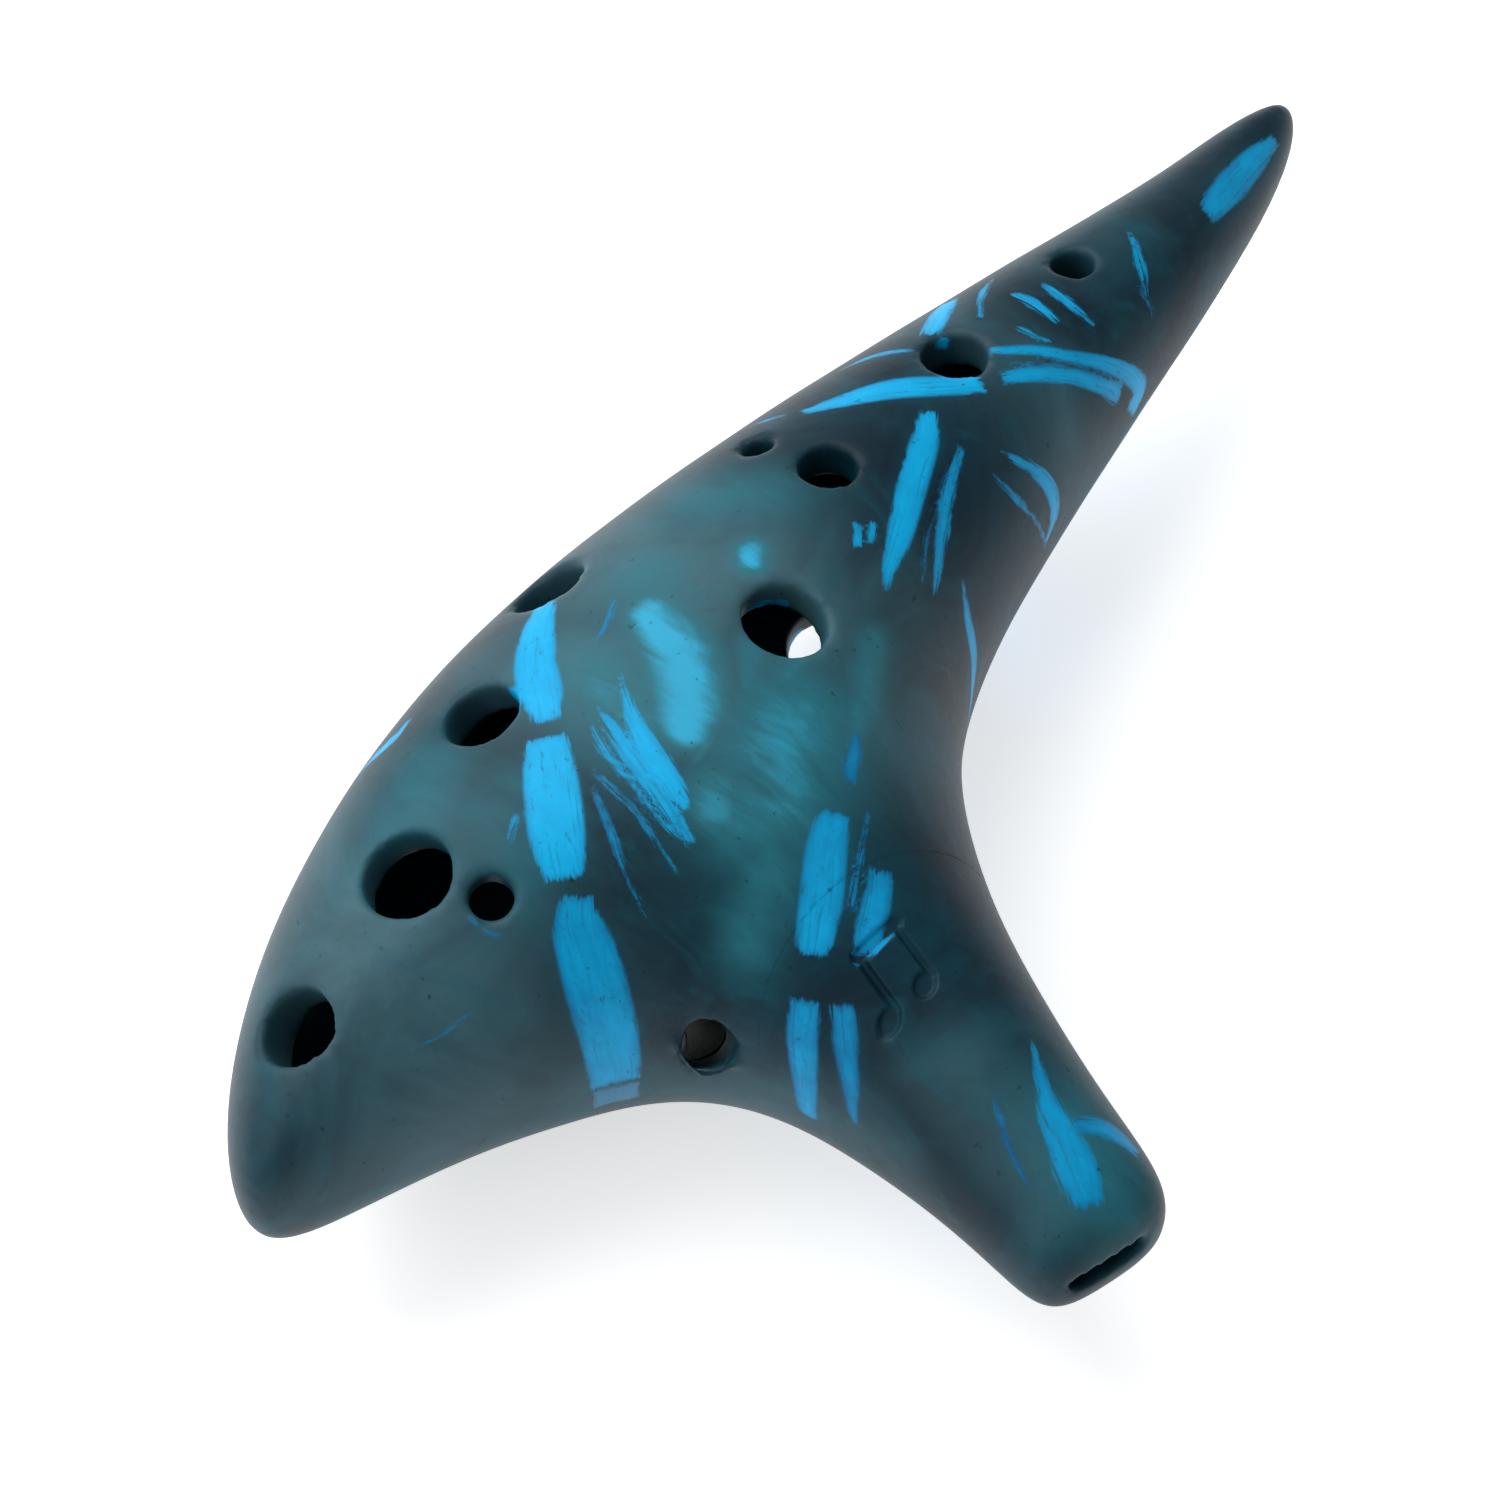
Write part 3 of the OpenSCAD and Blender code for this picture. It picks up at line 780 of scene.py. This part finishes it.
def glaze_material():
    """Satin blue-black glaze with azure straw marks under it, teal clouds and a grey painted
    sheen that stands in for reflected light.
    """
    net = Net("straw_glaze")
    place = net.place()
    cloud = net.noise(place, 55.0, 5.0, 0.6, 0.8)
    drift = net.noise(net.stretch(place, 1.0, 0.5, 1.0), 130.0, 5.0, 0.6, 1.2)
    wisp = net.noise(net.stretch(place, 1.0, 0.25, 0.6), 420.0, 4.0, 0.6, 0.8)
    grain = net.noise(place, 2600.0, 2.0)
    fleck = net.noise(place, 900.0, 3.0)

    look = net.add("ShaderNodeAttribute", {"attribute_name": "mark_look"}, out="Vector")
    tone, fibrous, pale = (net.add("ShaderNodeSeparateXYZ", {}, look, out=axis) for axis in "XYZ")
    edge = net.add("ShaderNodeAttribute", {"attribute_name": "mark_edge"}, out="Fac")
    run = net.add("ShaderNodeAttribute", {"attribute_name": "mark_run"}, out="Vector")
    patches = net.add("ShaderNodeAttribute", {"attribute_name": "patches"}, out="Vector")
    # patches: teal clouds of real colour, then the painted sheen
    teal, painted_sheen = (net.add("ShaderNodeSeparateXYZ", {}, patches, out=axis) for axis in "XY")

    # Ragged rims, long fibres and short pits of the straw, in millimetres of mark
    ragged = net.noise(net.stretch(run, 0.35, 1.0, 1.0), 1.1, 5.0, 0.65)
    fibre = net.noise(net.stretch(run, 0.10, 2.6, 1.0), 1.0, 4.0, 0.65)
    pitted = net.noise(net.stretch(run, 0.5, 0.9, 1.0), 0.9, 3.0, 0.6, 1.2)
    solid = (edge + (ragged - 0.5) * 1.6).above(-0.20, 0.35)
    split = (edge * 0.9 + (fibre - 0.46) * 4.5 * fibrous).above(-0.15, 0.40)
    streaks = 1.0 - fibre.above(0.56, 0.66) * 0.30
    pits = 1.0 - pitted.above(0.62, 0.72) * 0.5
    straw = net.add("ShaderNodeMath", {"operation": "MINIMUM"}, solid, split) * pits * streaks
    glow = (edge + 1.6).above(0.0, 2.2) * (1.0 - fibrous) * 0.35

    soot_and_sheen = net.mix(cloud.above(0.35, 0.70), paint(1, 30, 44), paint(3, 58, 74))
    # painted sheen: the colour turns pale grey where the studio light's reflection is painted in
    soot_and_sheen = net.mix((painted_sheen * (0.1 + 1.8 * cloud)).clamp(), soot_and_sheen, paint(72, 112, 124))
    soot_and_sheen = net.mix(drift.above(0.50, 0.80) * 0.45, soot_and_sheen, paint(10, 92, 108))
    soot_and_sheen = net.mix(glow * ragged, soot_and_sheen, paint(6, 100, 128))
    teal = (teal * (0.15 + 0.9 * drift + 0.8 * wisp)).clamp()
    soot_and_sheen = net.mix((teal * 1.6).clamp(), soot_and_sheen, paint(40, 122, 138))
    soot_and_sheen = net.mix(teal.above(0.45, 1.0), soot_and_sheen, paint(50, 178, 220))
    depth = tone * 1.1 - 0.15 + (ragged - 0.5) * 0.5 + (drift - 0.5) * 0.5
    azure = net.mix((depth - 0.25 + 0.25 * edge.above(0.0, 1.2)).clamp(),
                    paint(0, 84, 134), paint(0, 188, 250))
    azure = net.mix(pale * 0.8, azure, paint(70, 128, 160))
    colour = net.mix(straw, soot_and_sheen, azure)
    colour = net.mix(fleck.above(0.68, 0.76) * 0.5, colour, paint(2, 22, 32))

    bump = net.add("ShaderNodeBump", {}, Strength=0.10, Distance=0.0002,
                   Height=grain * 0.4 + fleck * 0.6 + straw * 0.25, out="Normal")
    net.finish(Base_Color=colour, Roughness=0.36 + 0.10 * cloud + 0.08 * fleck,
               Specular_IOR_Level=0.18, Normal=bump)
    return net.material


def bare_clay_material():
    """Dark smoked clay inside the chamber, barely glazed."""
    net = Net("smoked_clay")
    place = net.place()
    cloud = net.noise(place, 120.0, 4.0)
    grain = net.noise(place, 1800.0, 3.0)
    colour = net.mix(cloud.above(0.35, 0.7), paint(5, 20, 24), paint(14, 44, 48))
    bump = net.add("ShaderNodeBump", {}, Strength=0.35, Distance=0.0003, Height=grain,
                   out="Normal")
    net.finish(Base_Color=colour, Roughness=0.55 + 0.2 * grain, Normal=bump)
    return net.material


def floor_material():
    """White paper sweep that glows a little, so that shadows on it stay pale."""
    net = Net("paper_floor")
    speck = net.noise(net.place(), 900.0, 2.0)
    net.finish(Base_Color=net.mix(speck, paint(250, 250, 250), paint(254, 254, 254)),
               Roughness=0.9, Emission_Color=(1, 1, 1, 1), Emission_Strength=FLOOR_GLOW)
    return net.material


# ---------------------------------------------------------------- camera, floor and lights
AIM = Vector((-17.2, 19.5, 22.0)) * MM
AZIMUTH, ELEVATION, DISTANCE = math.radians(-52.5), math.radians(56), 0.545
LENS, SENSOR = 120.4, 36.0
FLOOR_GLOW, ROOM_LIGHT = 0.60, 0.30

# Lights: azimuth, elevation, distance and size in metres, watts
WINDOW_LIGHT = 172, 52, 0.9, 1.0, 7.5
SIDE_LIGHT = -110, 35, 1.0, 0.6, 1.5


def sight(azimuth, elevation):
    """Unit vector from the object towards a viewer."""
    return Vector((math.sin(azimuth) * math.cos(elevation),
                   -math.cos(azimuth) * math.cos(elevation), math.sin(elevation)))


def add_camera():
    """The eye looks at the front from over the beak."""
    data = bpy.data.cameras.new("camera")
    data.lens = LENS
    data.sensor_width = SENSOR
    data.clip_start, data.clip_end = 0.01, 20.0
    camera = bpy.data.objects.new("camera", data)
    back = sight(AZIMUTH, ELEVATION)
    right = Vector((math.cos(AZIMUTH), math.sin(AZIMUTH), 0))
    turn = Matrix((right, back.cross(right), back)).transposed().to_4x4()
    camera.matrix_world = Matrix.Translation(AIM + back * DISTANCE) @ turn
    bpy.context.scene.collection.objects.link(camera)
    bpy.context.scene.camera = camera


def add_light(name, azimuth, elevation, distance, size, power):
    data = bpy.data.lights.new(name, "AREA")
    data.shape = "SQUARE"
    data.size = size
    data.energy = power
    lamp = bpy.data.objects.new(name, data)
    towards = sight(math.radians(azimuth), math.radians(elevation))
    lamp.location = AIM + towards * distance
    lamp.rotation_euler = towards.to_track_quat("Z", "Y").to_euler()
    bpy.context.scene.collection.objects.link(lamp)


def add_studio():
    """Pale floor, plain white room, one large soft light and one small one."""
    bm = bmesh.new()
    bmesh.ops.create_grid(bm, x_segments=1, y_segments=1, size=3)
    floor = new_object("floor", bm)
    floor.data.materials.append(floor_material())
    world = bpy.data.worlds.new("studio")
    world.use_nodes = True
    background = world.node_tree.nodes["Background"]
    background.inputs["Color"].default_value = (1, 1, 1, 1)
    background.inputs["Strength"].default_value = ROOM_LIGHT
    bpy.context.scene.world = world
    add_light("window_light", *WINDOW_LIGHT)
    add_light("side_light", *SIDE_LIGHT)


# ---------------------------------------------------------------- making it all
bpy.context.scene.view_settings.view_transform = "Standard"
add_camera()
add_studio()

glaze = glaze_material()
bare_clay = bare_clay_material()

ocarina = clay_body()
soften(ocarina)
hand_shaping(ocarina)
press_mark(ocarina)

skin_points, skin_turn = points_of(ocarina.data), normals_of(ocarina.data)
skin = KDTree(len(skin_points))
for number, point in enumerate((skin_points * MM).tolist()):
    skin.insert(point, number)
skin.balance()
straws = STRAWS + hidden_straws(skin, skin_points, skin_turn, HIDDEN_STRAWS)

for node, piece in part_pieces(ocarina).items():
    piece.data.materials.clear()
    piece.data.materials.append(glaze)
    piece.data.shade_smooth()
    piece.data.set_sharp_from_angle(angle=SHARP)
    lay_straw(piece.data, skin_normals(piece.data, skin, skin_turn), straws)
    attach(piece, "root")
    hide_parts(node)

for node in ("seam_coil", "strap_lug"):
    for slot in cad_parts[node].material_slots:
        slot.material = bare_clay
